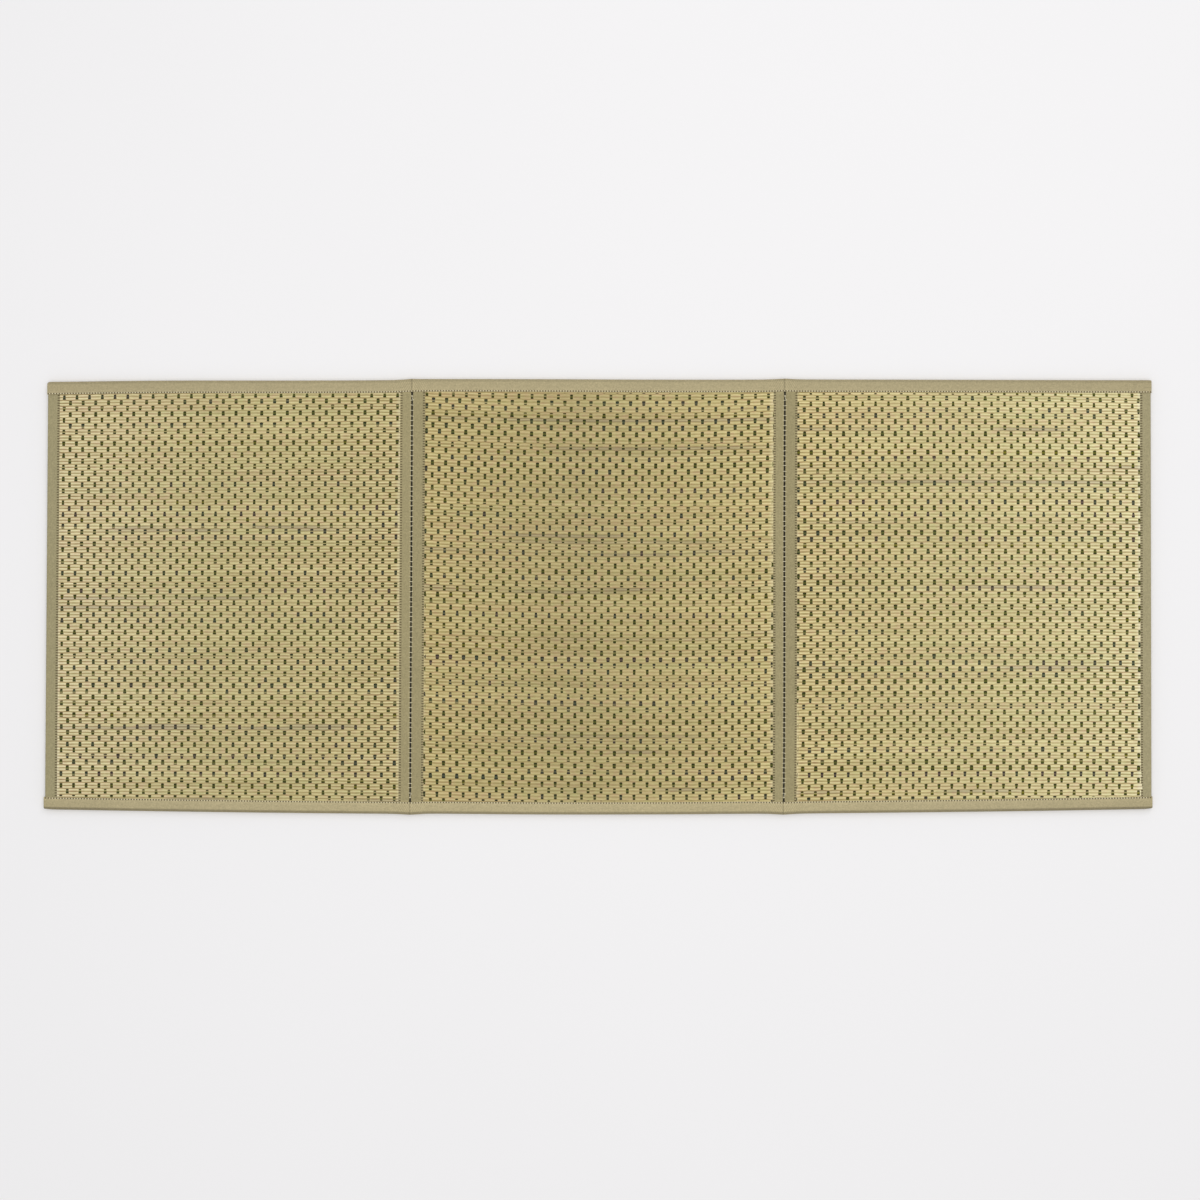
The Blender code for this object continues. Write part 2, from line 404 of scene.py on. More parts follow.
def rush_finish(weave, colours):
    """Picks of rush: stalks of many straw tones with long streaks, and darker lines between them."""
    shader = Shader(weave.node + "_finish", 0.62, 0.3)
    u, v, row, f = shader.picks()
    phase = ((u + row) * math.pi).cos()
    x, y, _ = shader.axes(shader.place())
    low, high = sides(weave)
    share = (x - low) / (high - low)
    # The stalks show best near both sides of a panel.
    clear = ((share * 2.0 - 1.0).absolute() ** 2.5) * 0.7 + 0.65

    # Two bundles of stalks in a pick, and the finer stalks in them
    wander = shader.grain(u * 0.30, row * 5.3)
    bundles = (v + (wander - 0.5) * 0.16) * 2.0
    bundle = bundles.floor()
    across = bundles - bundle
    drift = shader.grain(u * 0.22, bundle * 3.1)
    stalks = (v + (drift - 0.5) * 0.22) * 5.0
    stalk = stalks.floor()
    beside = (stalks - stalk - 0.5).absolute()

    streak = shader.grain(u * 0.055, bundle * 1.73, 4.0, 3.0, 0.6)
    single = shader.grain(u * 0.10, stalk * 1.37, 8.0, 2.0)
    fleck = shader.grain(u * 1.4, v * 3.6, 6.0)
    tone = shader.dice(bundle, 3.0) * 0.20 + streak * 0.42 + single * 0.50 + fleck * 0.55 - 0.30
    base = shader.ramp(tone, [(place, times(colours.rush, tint)) for place, tint in (
        (0.15, (0.63, 0.57, 0.49)),
        (0.35, (0.79, 0.76, 0.65)),
        (0.50, (0.91, 0.89, 0.81)),
        (0.65, (1.05, 1.05, 0.98)),
        (0.85, (1.22, 1.25, 1.29)),
    )])

    blush = shader.grain(u * 0.8, v * 1.9, 5.0)
    base = shader.mixed(blush.smooth(0.52, 0.70) * 0.50, base, srgb(206, 168, 134))
    base = shader.mixed(blush.smooth(0.46, 0.28) * 0.40, base, srgb(182, 184, 118))
    hue = shader.grain(u * 0.035, row * 0.9, 9.0, 2.0)
    base = shader.mixed(hue.smooth(0.50, 0.72) * 0.30, base, srgb(172, 172, 112))
    base = shader.mixed(hue.smooth(0.50, 0.28) * 0.30, base, srgb(196, 160, 124))
    rare = shader.dice(bundle, 11.0).smooth(0.90, 0.95)
    stretch = shader.grain(u * 0.05, bundle * 2.1, 1.0).smooth(0.46, 0.58)
    base = shader.mixed(rare * stretch * 0.6, base, srgb(134, 116, 98))
    level = shader.dice(row, 7.0) * 0.05 + shader.grain(u * 0.03, row * 2.3, 0.0, 2.0) * 0.18
    base = shader.scaled(base, level + 0.885)

    from_line = across.least(1.0 - across)
    middle_line = 1.0 - from_line.smooth(0.04, 0.32)
    broken = shader.grain(u * 0.7, bundle * 2.7, 3.0, 2.0)
    brown = middle_line * (streak + broken * 1.6 - 0.75).most(0.0)
    base = shader.mixed(brown * clear * weave.lines, base, srgb(128, 98, 54))
    glint = from_line.smooth(0.16, 0.40)
    base = shader.mixed(glint * single * clear * 0.80, base, srgb(248, 235, 186))
    fine_line = beside.smooth(0.30, 0.50)
    base = shader.mixed(fine_line * single * broken * clear * 1.3, base, srgb(146, 120, 74))
    # Painted shade in the groove between two picks
    groove_shade = 1.0 - f.least(1.0 - f).smooth(0.0, 0.12)
    base = shader.mixed(groove_shade * 0.10, base, srgb(120, 96, 56))

    # Light catches the rush beside each float, and the bulges above and below its ends.
    side = phase.smooth(-0.3, 0.7)
    edge = (f - 0.5).absolute().smooth(0.20, 0.36) * (1.0 - groove_shade * 0.6)
    lift = side * 0.07 + edge * (1.0 - side) * 0.10
    base = shader.scaled(base, lift + 0.97)

    inside = (x - low).least(high - x)
    fresh = (1.0 - inside.smooth(18 * MM, 25 * MM)) * (single * 1.2 - 0.1).most(0.0)
    base = shader.mixed(fresh * 0.55, base, srgb(238, 228, 196))
    # Partly each panel's own tone, partly painted sheen that makes its sides lighter
    left, middle, right = weave.tones
    tint = shader.ramp(share, ((0.0, left), (0.45, middle), (1.0, right)))
    base = shader.mixed(1.0, base, tint, "MULTIPLY")
    # Painted light: the rush is a little lighter towards the back, where the light comes from
    shader.feed("Base Color", shader.scaled(base, y * 0.06 + 1.30))

    fine = shader.grain(u * 6.0, v * 34.0, 0.0, 2.0)
    shader.bump(fine - middle_line * 0.8 - fine_line * 0.8, 0.25 * MM, 0.6)
    shader.feed("Roughness", fine * 0.15 + 0.54)
    return shader.material


def under_finish(colours):
    """The underside of the panels, which is the same weave seen from below, painted on."""
    shader = Shader("rush_underside", 0.7)
    u, v, row, f = shader.picks()
    phase = ((u + row) * math.pi).cos()
    stalk = (v * 3.0).floor()
    streak = shader.grain(u * 0.05, stalk * 1.7, 0.0, 3.0)
    base = shader.ramp(streak, ((0.25, srgb(170, 152, 108)), (0.75, srgb(214, 199, 150))))
    # Painted shade in the grooves between the picks, as the underside is flat
    groove = 1.0 - f.least(1.0 - f).smooth(0.0, 0.14)
    base = shader.mixed(groove * 0.7, base, srgb(104, 84, 50))
    warp = (0.0 - phase).smooth(0.72, 0.86) * (1.0 - groove)
    base = shader.mixed(warp, base, tuple(colours.warp))
    shader.feed("Base Color", base)
    shader.bump(1.0 - groove, 0.8 * MM, 0.8)
    return shader.material


def warp_finish(colours):
    """Warp floats: painted shade at both ends, where they dive between the picks, and olive, bluish or
    purple.
    """
    shader = Shader("warp_floats", 0.8, 0.2)
    u, v, row, f = shader.picks()
    cell = ((u + row) * 0.5 + 0.5).floor()
    drift = shader.grain(u * 0.09, row * 3.7, 2.0, 2.0)
    tone = shader.dice(row, 1.0) * 0.5 + drift * 0.75 + shader.dice(cell, row) * 0.15 - 0.2
    olive = shader.ramp(tone, (
        (0.15, srgb(90, 72, 68)),
        (0.30, srgb(70, 78, 64)),
        (0.44, srgb(88, 92, 38)),
        (0.66, srgb(72, 76, 20)),
        (0.86, srgb(112, 106, 24)),
    ))
    olive = shader.mixed(0.25, olive, tuple(colours.warp))
    end = (f - 0.5).absolute()
    # Painted shade at the ends, where the float dives between the picks
    dark = end.smooth(0.06, 0.26)
    around = u - (u + 0.5).floor()
    plies = (around * (2 * math.pi / 0.16)).cos()
    x, _, _ = shader.axes(shader.place())
    # Painted light: the floats are lighter towards the right, where the light comes from
    towards_right = x.smooth(0.3, 0.8) * 0.4 + 1.03
    colour = shader.scaled(olive, (1.05 - dark * 0.78 + plies * 0.08) * towards_right)
    some_rows = shader.dice(row, 5.0).smooth(0.45, 0.75)
    strength = some_rows * shader.dice(cell, row + 31.0).smooth(0.0, 0.5)
    place = shader.dice(row, 9.0) * 0.36 + 0.34
    stalk = 1.0 - (f - place).absolute().smooth(0.04, 0.10)
    colour = shader.mixed(stalk * strength * 0.85, colour, srgb(186, 172, 120))
    shader.feed("Base Color", colour)
    twist = shader.grain(u * 16.0, v * 5.0, 0.0, 2.0)
    shader.bump(twist + plies * 0.5, 0.3 * MM, 0.8)
    return shader.material


def cloth_finish(name, colours, pitch, tone, creases=(), width=0.0, shade=0.0, slit=False):
    """Plain-woven cotton, pricked along its sewn edge, with painted shade where it turns over the edge.

    The sewn edge of a long binding shows a row of dark pricks, painted shade in the needle holes, and
    the binding is creased where it crosses a fold, with painted shade and highlight there. A short one
    has no creases, and dark dashes of painted shadow round its stitches that reach its very edge. At a
    fold the cloth is painted dark down in the slit, with a painted highlight on its lip.
    """
    shader = Shader(name, 0.88, 0.2)
    shader.surface.inputs["Sheen Weight"].default_value = 0.1
    place = shader.place()
    _, _, z = shader.axes(place)
    along, hem, _ = shader.uv("cloth")
    warp = (along * (2 * math.pi / (0.62 * MM))).cos()
    weft = (hem * (2 * math.pi / (0.55 * MM))).cos()
    threads = warp * weft
    mottle = shader.noise(place, 380.0, 3.0, 0.75)
    slub = shader.grain(along * 90.0, hem * 700.0, 0.0, 2.0)
    cloud = shader.noise(place, 14.0, 2.0)
    level = mottle * 0.80 + slub * 0.22 + cloud * 0.10 + threads * 0.03 + 0.44
    base = shader.mixed(1.0, tuple(colours.cloth), tone, "MULTIPLY")
    base = shader.scaled(base, level)
    off = ((along / pitch + 0.5).fract() - 0.5) * pitch
    if creases:
        inset = hem - 1.5 * MM
        sewn = 1.0 - (off * off + inset * inset).smooth(0.35 * MM * MM, 2.2 * MM * MM)
    else:
        inset = (hem - 1.4 * MM).absolute() - 1.2 * MM
        inset = inset.most(0.0)
        sewn = 1.0 - (off * off + inset * inset).smooth(0.2 * MM * MM, 1.3 * MM * MM)
    # Painted shade in the needle holes between the stitches of a long binding, and round the stitches of
    # a short one
    base = shader.mixed(sewn * 0.90, base, srgb(80, 68, 42))
    for crease in creases:
        away = along - crease
        # Painted shade along the crease, and a painted highlight on the cloth bent over beside it
        dark = 1.0 - (away + 0.6 * MM).absolute().smooth(0.4 * MM, 1.8 * MM)
        crease_highlight = 1.0 - (away - 2.0 * MM).absolute().smooth(0.3 * MM, 1.6 * MM)
        base = shader.scaled(base, 1.0 - dark * (0.34 - shade * 0.3) + crease_highlight * 0.10)
        # Painted light and shade on the ripples that fan out from the crease
        near = 1.0 - away.absolute().smooth(8 * MM, 42 * MM)
        ripple_shading = ((away.absolute() + hem * 0.6) * (2 * math.pi / (3.6 * MM))).cos()
        base = shader.scaled(base, 1.0 + ripple_shading * near * 0.11)
    if shade:
        # Painted shade on the outer edge, which turns away from the light, and a painted highlight along
        # the raised inner edge; the cloth is also lighter towards the middle of the mat
        edge = hem.smooth(width - 5.6 * MM, width - 3.0 * MM) * z.smooth(7.0 * MM, 8.2 * MM)
        inner = 1.0 - hem.smooth(3.5 * MM, 9.0 * MM)
        middle = 1.0 - (along / 0.9) ** 2.0
        level = inner * 0.05 + middle * (0.03 + 0.2 * shade) - edge * shade
        base = shader.scaled(base, level + (1.0 - 0.2 * shade))
    if slit:
        # Painted highlight on the lip of the slit, and painted shade down inside it
        lip = z.smooth(9.0 * MM, 9.4 * MM) * (1.0 - z.smooth(9.55 * MM, 9.79 * MM))
        base = shader.scaled(base, lip * 0.20 + 1.0)
        base = shader.mixed(0.96 - z.smooth(7.8 * MM, 9.2 * MM) * 0.96, base, srgb(34, 30, 22))
    shader.feed("Base Color", base)
    shader.bump(threads * 0.6 + mottle * 1.4 + slub - sewn * 2.0, 0.22 * MM, 0.7)
    return shader.material


def thread_finish(name, colour):
    """Sewing thread, with its ply."""
    shader = Shader(name, 0.7)
    ply = shader.noise(shader.place(), 1500.0, 1.0)
    shader.feed("Base Color", shader.scaled(colour, ply * 0.3 + 0.85))
    shader.bump(ply, 0.1 * MM, 0.5)
    return shader.material


def floor_finish(colours):
    """Matt paper, almost even."""
    shader = Shader("pale_floor", 0.9, 0.1)
    cloud = shader.noise(shader.place(), 1.3, 2.0)
    shader.feed("Base Color", shader.scaled(tuple(colours.floor), cloud * 0.02 + 0.99))
    return shader.material


# Shapes that the CAD model has too


def through(rows, name, x):
    """The named column of the outline at each x, on a smooth curve through the rows."""
    places = np.array([row.x for row in rows])
    values = np.array([getattr(row, name) for row in rows])
    i = np.clip(np.searchsorted(places, x) - 1, 0, len(rows) - 2)
    low = np.maximum(np.arange(len(rows)) - 1, 0)
    high = np.minimum(np.arange(len(rows)) + 1, len(rows) - 1)
    slopes = (values[high] - values[low]) / (places[high] - places[low])
    span = places[i + 1] - places[i]
    t = (x - places[i]) / span
    t2 = t * t
    t3 = t2 * t
    return ((2 * t3 - 3 * t2 + 1) * values[i] + (t3 - 2 * t2 + t) * span * slopes[i]
            + (3 * t2 - 2 * t3) * values[i + 1] + (t3 - t2) * span * slopes[i + 1])


def back_edge(x):
    return through(OUTLINE, "back", x - SHIFT_X) + SHIFT_Y


def front_edge(x):
    return through(OUTLINE, "front", x - SHIFT_X) + SHIFT_Y


def strip_face(strip, y):
    """X of a short binding's outer face."""
    t = 0.5 + 0.5 * (y - SHIFT_Y) / HALF_DEPTH
    sway = strip.sway * np.sin(2 * math.pi * t)
    return strip.front + (strip.back - strip.front) * t + sway + SHIFT_X


def ramp(distance, width):
    """0 under a binding of that width, 1 in the field beside it."""
    return np.clip((distance - width - RISE_FROM) / (RISE_TO - RISE_FROM), 0.0, 1.0)


def mix(a, b, t):
    return a + (b - a) * t


def open_along(x, y):
    """How clear a point is of the two long bindings, from 0 under one to 1 in the field."""
    back, front = LONGS
    return np.minimum(ramp(back_edge(x) - y, back.width), ramp(y - front_edge(x), front.width))


# Meshes


def grid_mesh(name, columns, rows):
    """A plain grid, and each vertex's column and row."""
    bm = bmesh.new()
    bmesh.ops.create_grid(bm, x_segments=columns - 1, y_segments=rows - 1, size=0.5)
    mesh = finished(bm, name)
    places = read_places(mesh)
    column = np.rint((places[:, 0] + 0.5) * (columns - 1)).astype(int)
    row = np.rint((places[:, 1] + 0.5) * (rows - 1)).astype(int)
    return mesh, column, row


def finished(bm, name):
    """The new mesh of a bmesh, which is then freed."""
    mesh = bpy.data.meshes.new(name)
    bm.to_mesh(mesh)
    bm.free()
    return mesh


def extruded(bm, edges):
    """The edges and vertices that are extruded from those edges."""
    made = bmesh.ops.extrude_edge_only(bm, edges=edges)["geom"]
    rim = [item for item in made if isinstance(item, bmesh.types.BMEdge)]
    verts = [item for item in made if isinstance(item, bmesh.types.BMVert)]
    return rim, verts


def repeated(part, *rows):
    """The mesh of a small part repeated in rows, each an axis, a count and a step."""
    obj = bpy.data.objects.new("part", part)
    bpy.context.scene.collection.objects.link(obj)
    for axis, count, step in rows:
        array = obj.modifiers.new("repeat", "ARRAY")
        array.use_relative_offset = False
        array.use_constant_offset = True
        array.constant_offset_displace = [step if k == axis else 0.0 for k in range(3)]
        array.count = count
    graph = bpy.context.evaluated_depsgraph_get()
    made = bpy.data.meshes.new_from_object(obj.evaluated_get(graph), depsgraph=graph)
    bpy.data.objects.remove(obj)
    bpy.data.meshes.remove(part)
    return made


def read_places(mesh):
    places = np.empty(len(mesh.vertices) * 3)
    mesh.vertices.foreach_get("co", places)
    return places.reshape(-1, 3)


def write_places(mesh, x, y, z):
    mesh.vertices.foreach_set("co", np.stack([x, y, z], 1).ravel())
    mesh.update()


def write_map(mesh, name, u, v):
    """A UV map that gives each vertex one place."""
    layer = mesh.uv_layers.new(name=name)
    corner = np.empty(len(mesh.loops), np.int32)
    mesh.loops.foreach_get("vertex_index", corner)
    layer.uv.foreach_set("vector", np.stack([u[corner], v[corner]], 1).ravel())


def shown(mesh, finishes):
    """The object that shows a finished mesh, riding on the mat's one body."""
    for finish in finishes:
        mesh.materials.append(finish)
    mesh.shade_smooth()
    obj = bpy.data.objects.new(mesh.name, mesh)
    bpy.context.scene.collection.objects.link(obj)
    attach(obj, "root")
    return obj


def sides(weave):
    """X of a panel's left and right sides."""
    low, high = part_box(weave.node)
    return low.x, high.x


def warp_at(weave, x):
    """How many warps a place lies to the right of the counted one."""
    return (x / MM - weave.x) / weave.column


def pick_at(weave, y):
    """How many picks a place lies in front of the counted one."""
    return (weave.y - y / MM) / weave.row


def three_way(values, t):
    """A curve that takes the three values at t = -1, 0 and 1."""
    low, middle, high = values
    return middle + (high - low) / 2 * t + ((high + low) / 2 - middle) * t * t


def woven_place(weave, u, v):
    """X and Y of a place in the weave: u counts warp threads, v counts picks towards the front."""
    x = weave.x * MM + u * weave.column * MM
    y = weave.y * MM - v * weave.row * MM
    t = y / LEAN_AT
    low, high = sides(weave)
    s = np.clip((2 * x - low - high) / (high - low), -1, 1)
    bow = mix(three_way(weave.bow_front, s), three_way(weave.bow_back, s), t / 2 + 0.5)
    shake = row_numbers(weave, v, 3) * 0.25 * np.sin(u * 0.21 + 7 * row_numbers(weave, v, 4))
    lean = three_way(weave.lean[::-1], t) + weave.drawn * s * s + weave.skew * s * t
    crowd = three_way(weave.crowd, s) * np.clip((y - 255 * MM) / (75 * MM), 0, 1.2) ** 2
    return x + lean * MM, y + (bow + shake - crowd) * MM


def write_weave(mesh, index, u, v):
    """The map that the finishes follow, in which no two panels share a warp or a pick."""
    write_map(mesh, "weave", *own_place(index, u, v))


def own_place(index, u, v):
    return u + PANEL_WARPS * index, v + PANEL_PICKS * index


def row_numbers(weave, v, kind):
    """A random number from -1 to 1 for each pick, the same each time."""
    dice = np.random.default_rng(40 + 10 * WEAVES.index(weave) + kind)
    table = dice.uniform(-1, 1, ROW_NUMBERS)
    return table[(np.floor(v + 1e-6).astype(int) + ROW_NUMBERS // 2) % ROW_NUMBERS]


def phase_of(u, row):
    """1 at a pick's own floats, -1 halfway between them."""
    return np.cos(math.pi * (u + row))


def swelled(v, phase):
    """v moved so that a pick is narrow at its own floats and wide between them."""
    f = v - np.floor(v + 1e-6)
    return v + BULGE * phase * (1 - 2 * f)


def panel_edges(index, x, y):
    """The panel's left, right, front and back edges beside a point."""
    left, right = STRIPS[2 * index], STRIPS[2 * index + 1]
    return (strip_face(left, y) + STACK, strip_face(right, y) - STACK,
            front_edge(x) + STACK, back_edge(x) - STACK)


def clear_of_bindings(index, x, y):
    """How clear a point of a panel is of the short and of the long bindings beside it."""
    left, right = STRIPS[2 * index], STRIPS[2 * index + 1]
    low, high, _, _ = panel_edges(index, x, y)
    free_x = np.minimum(ramp(x - low + STACK, left.width), ramp(high + STACK - x, right.width))
    return free_x, open_along(x, y)


class MAT_OT_panels(bpy.types.Operator):
    """Weave the three rush panels"""

    bl_idname = "rush_mat.panels"
    bl_label = "Rush Panels"

    def execute(self, context):
        sizes, colours = context.scene.mat_sizes, context.scene.mat_colours
        under = under_finish(colours)
        warp = warp_finish(colours)
        for index, weave in enumerate(WEAVES):
            body = self.panel(index, weave, sizes, [rush_finish(weave, colours), under])
            floats = self.floats(index, weave, sizes, warp)
        return {"FINISHED"}

    def stations(self, index, weave):
        """Places across and along the panel where the weave is followed, in warps and picks."""
        low, high, front, back = panel_edges(index, 0.0, 0.0)
        reach = 8 * MM
        first = math.ceil(warp_at(weave, low + reach))
        last = math.floor(warp_at(weave, high - reach))
        beside_float = 2.3 / weave.column
        columns = [k + d for k in range(first, last + 1) for d in (-beside_float, beside_float, 0.5)]
        top = math.ceil(pick_at(weave, back - reach))
        bottom = math.floor(pick_at(weave, front + reach))
        rows = [k + place for k in range(top, bottom) for place in PICK_PLACES]
        return np.array(columns[:-1]), np.array([*rows, float(bottom)])

    def panel(self, index, weave, sizes, finishes):
        """One closed sheet of woven rush, drawn in where the bindings cover it."""
        us, vs = self.stations(index, weave)
        columns, rows = len(us) + 4, len(vs) + 4
        mesh, i, j = grid_mesh(weave.node + "_weave", columns, rows)
        u = us[np.clip(i - 2, 0, len(us) - 1)]
        v = vs[np.clip(len(vs) + 1 - j, 0, len(vs) - 1)]
        row = np.floor(v + 1e-6)
        phase = phase_of(u, row)
        x, y = woven_place(weave, u, swelled(v, phase))
        low, high, front, back = panel_edges(index, x, y)
        rim = 1.2 * MM
        for line, place in ((0, low), (1, low + rim), (columns - 2, high - rim), (columns - 1, high)):
            x = np.where(i == line, place, x)
        low, high, front, back = panel_edges(index, x, y)
        for line, place in ((0, front), (1, front + rim), (rows - 2, back - rim), (rows - 1, back)):
            y = np.where(j == line, place, y)

        rolled = (i == 0) | (i == columns - 1) | (j == 0) | (j == rows - 1)
        z = self.height(index, weave, sizes, x, y, u, v, phase)
        z = np.where(rolled, z - RIM_DROP, z)
        write_places(mesh, x, y, z)
        outer = (i <= 1) | (i >= columns - 2)
        flat_u = np.where(outer, warp_at(weave, x), u)
        outer = (j <= 1) | (j >= rows - 2)
        flat_v = np.where(outer, pick_at(weave, y), v)
        write_weave(mesh, index, flat_u, flat_v)
        self.close_below(index, mesh)
        body = shown(mesh, finishes)
        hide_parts(weave.node)
        return body

    def height(self, index, weave, sizes, x, y, u, v, phase):
        """Height of the rush: rounded stalks, pressed under the floats and under the bindings."""
        f = v - np.floor(v + 1e-6)
        turned = row_numbers(weave, v, 1) > 0
        place = np.where(turned, 1 - f, f) % 1.0
        depth = np.interp(place, (*PICK_PLACES, 1.0), (*PICK_DEPTHS, PICK_DEPTHS[0]))
        stalk = np.sin(u * 0.5 + 9 * row_numbers(weave, v, 2) + 5 * f) * 0.10 * (1 - depth)
        crest = mix(sizes.crest, sizes.pressed, phase / 2 + 0.5) + stalk * MM
        field = crest - depth * sizes.groove * mix(1.0, 0.7, phase / 2 + 0.5)
        free_x, free_y = clear_of_bindings(index, x, y)
        covered = mix(TUCKED_TOP, BINDING_TOP, free_y) - STACK
        beside = mix(BINDING_TOP - STACK, field, free_y)
        return mix(covered, beside, free_x)

    def close_below(self, index, mesh):
        """Walls down from the rim, the band inside the bindings, and the flat that the mat lies on."""
        bm = bmesh.new()
        bm.from_mesh(mesh)
        layer = bm.loops.layers.uv.active
        weave = WEAVES[index]
        rim = [edge for edge in bm.edges if edge.is_boundary]
        low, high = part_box(weave.node)
        middle = (low + high) / 2
        covered = 18 * MM
        reached = 0.0
        for inset, lift in ((0.0, RIM_DROP), (RIM_DROP, 0.0), (covered, 0.0), (covered + 4 * MM, None)):
            rim, verts = extruded(bm, rim)
            places = np.array([vert.co for vert in verts])
            if inset > 0:
                step = inset - reached
                places[:, 0] += (middle.x - places[:, 0]) * step / ((high.x - low.x) / 2)
                places[:, 1] += (middle.y - places[:, 1]) * step / ((high.y - low.y) / 2)
            reached = inset
            free_x, free_y = clear_of_bindings(index, places[:, 0], places[:, 1])
            lower = mix(mix(2 * STACK, STACK, free_y), mix(STACK, 0.0, free_y), free_x)
            heights = lower + lift if lift is not None else np.zeros(len(verts))
            for vert, place, height in zip(verts, places, heights):
                vert.co = (place[0], place[1], height)
        bmesh.ops.holes_fill(bm, edges=rim, sides=0)
        bmesh.ops.recalc_face_normals(bm, faces=bm.faces)
        for face in bm.faces:
            if face.normal.z < -0.3:
                face.material_index = 1
                for loop in face.loops:
                    place = loop.vert.co
                    loop[layer].uv = own_place(index, warp_at(weave, place.x), pick_at(weave, place.y))
                if len(face.verts) > 4:
                    face.smooth = False
        bm.to_mesh(mesh)
        bm.free()

    def floats(self, index, weave, sizes, finish):
        """Warp floats: one small strip, arrayed over the weave in two staggered sets."""
        low, high, front, back = panel_edges(index, 0.0, 0.0)
        first, last = math.floor(warp_at(weave, low)), math.ceil(warp_at(weave, high))
        top, bottom = math.floor(pick_at(weave, back)), math.ceil(pick_at(weave, front))
        bm = bmesh.new()
        for offset in (0, 1):
            start = first + (first + top + offset) % 2
            part = arrayed_strip((last - start) // 2 + 1, (bottom - top) // 2 + 1,
                                 start, top + offset)
            bm.from_mesh(part)
            bpy.data.meshes.remove(part)
        mesh = finished(bm, weave.node + "_warp")

        places = read_places(mesh)
        u0, v0 = places[:, 0] // 1, places[:, 1] // 1
        across, along = places[:, 0] - u0 - 0.5, places[:, 1] - v0 - 0.5
        across, along = across / STRIP_HALF_WIDTH, along / STRIP_HALF_LENGTH
        waist = 0.68 + 0.12 * row_numbers(weave, v0, 5)
        place = 0.35 * row_numbers(weave, v0, 6)
        shape = mix(waist, 1.0, np.minimum(np.abs(along - place) ** 1.6, 1.0))
        shape = shape * (1 - 0.5 * np.clip((np.abs(along) - 0.6) / 0.4, 0, 1) ** 2)
        shape = shape * (1 + 0.12 * row_numbers(weave, v0, 7))
        jitter = np.random.default_rng(index)
        table = jitter.uniform(-1, 1, (FLOAT_NUMBERS, FLOAT_NUMBERS))
        wobble = table[(u0.astype(int) + 100) % FLOAT_NUMBERS, (v0.astype(int) + 100) % FLOAT_NUMBERS]
        half = sizes.float_width / 2 / (weave.column * MM)
        u = u0 + across * half * shape + wobble * 0.02
        length = 0.445 + 0.02 * row_numbers(weave, v0, 8)
        v = v0 + 0.5 + along * length
        x, y = woven_place(weave, u, v)
        free_x, free_y = clear_of_bindings(index, x, y)
        rise = 0.64 * MM - 0.95 * MM * np.abs(along) ** 4 - 0.20 * MM * across ** 2
        free = np.minimum(free_x, free_y)
        bed = mix(mix(TUCKED_TOP, BINDING_TOP, free_y) - STACK, sizes.pressed, free)
        z = bed + mix(-0.4 * MM, rise, np.minimum(free * 5, 1))
        write_places(mesh, x, y, z)
        write_weave(mesh, index, u, v)

        hidden = free < 0.01
        bm = bmesh.new()
        bm.from_mesh(mesh)
        bm.verts.ensure_lookup_table()
        gone = [face for face in bm.faces if all(hidden[vert.index] for vert in face.verts)]
        bmesh.ops.delete(bm, geom=gone, context="FACES")
        bm.to_mesh(mesh)
        bm.free()
        return shown(mesh, [finish])


def arrayed_strip(across, along, start_u, start_v):
    """A small grid, its middle half a step in, repeated every two steps each way."""
    bm = bmesh.new()
    bmesh.ops.create_grid(bm, x_segments=2, y_segments=len(FLOAT_ALONG) - 1, size=0.5)
    steps = np.linspace(-0.5, 0.5, len(FLOAT_ALONG))
    for vert in bm.verts:
        vert.co.y = STRIP_HALF_LENGTH * FLOAT_ALONG[int(np.argmin(np.abs(steps - vert.co.y)))]
        vert.co.x *= 2 * STRIP_HALF_WIDTH
    bmesh.ops.translate(bm, verts=bm.verts, vec=(start_u + 0.5, start_v + 0.5, 0.0))
    # The picks are counted towards the front, which will turn the strips over.
    bmesh.ops.reverse_faces(bm, faces=bm.faces)
    return repeated(finished(bm, "strip"), (0, across, 2.0), (1, along, 2.0))


# Bindings


def folded_points(width, steps=3):
    """Places round a folded binding as (distance from its outermost line, share of its height)."""
    turns = [math.pi / 2 * k / steps for k in range(steps + 1)]
    flat = [width, width - 0.7 * MM, width - 1.6 * MM, width - 2.6 * MM, width - 4.5 * MM,
            width * 0.6, width * 0.4, width * 0.22]
    upper = [(d, "top", 0.0) for d in flat]
    upper += [(TURN_RADIUS * (1 - math.sin(turn)), "top", TURN_RADIUS * (1 - math.cos(turn)))
              for turn in turns]
    side = [(0.0, "top", TURN_RADIUS + d) for d in (1.5 * MM, 3.4 * MM)]
    lower = [(TURN_RADIUS * (1 - math.cos(turn)), "bottom", TURN_RADIUS * (1 - math.sin(turn)))
             for turn in turns]
    return upper + side + lower + [(width * 0.5, "bottom", 0.0), (width, "bottom", 0.0)]


def binding_mesh(name, stations, section):
    """A grid of stations along a binding and section points round it, and each vertex's own values."""
    mesh, i, j = grid_mesh(name, len(stations), len(section))
    distance = np.array([point[0] for point in section])[j]
    on_top = np.array([point[1] == "top" for point in section])[j]
    off = np.array([point[2] for point in section])[j]
    return mesh, i, j, np.array(stations)[i], distance, on_top, off


def sewn_edge(binding, distance, on_top, place, step, pull):
    """How far the stitches pull the sewn edge in and out, and how far they and the hem lift it."""
    from_edge = binding.width - distance
    inner = np.clip(1 - np.abs(from_edge) / (1.0 * MM), 0, 1)
    stitch = np.cos(2 * math.pi * place / (2 * step)) * pull * inner * on_top
    hem = np.clip(1 - from_edge / HEM_WIDTH, 0, 1) * on_top
    return stitch, stitch * 0.4 - hem * HEM_SINK


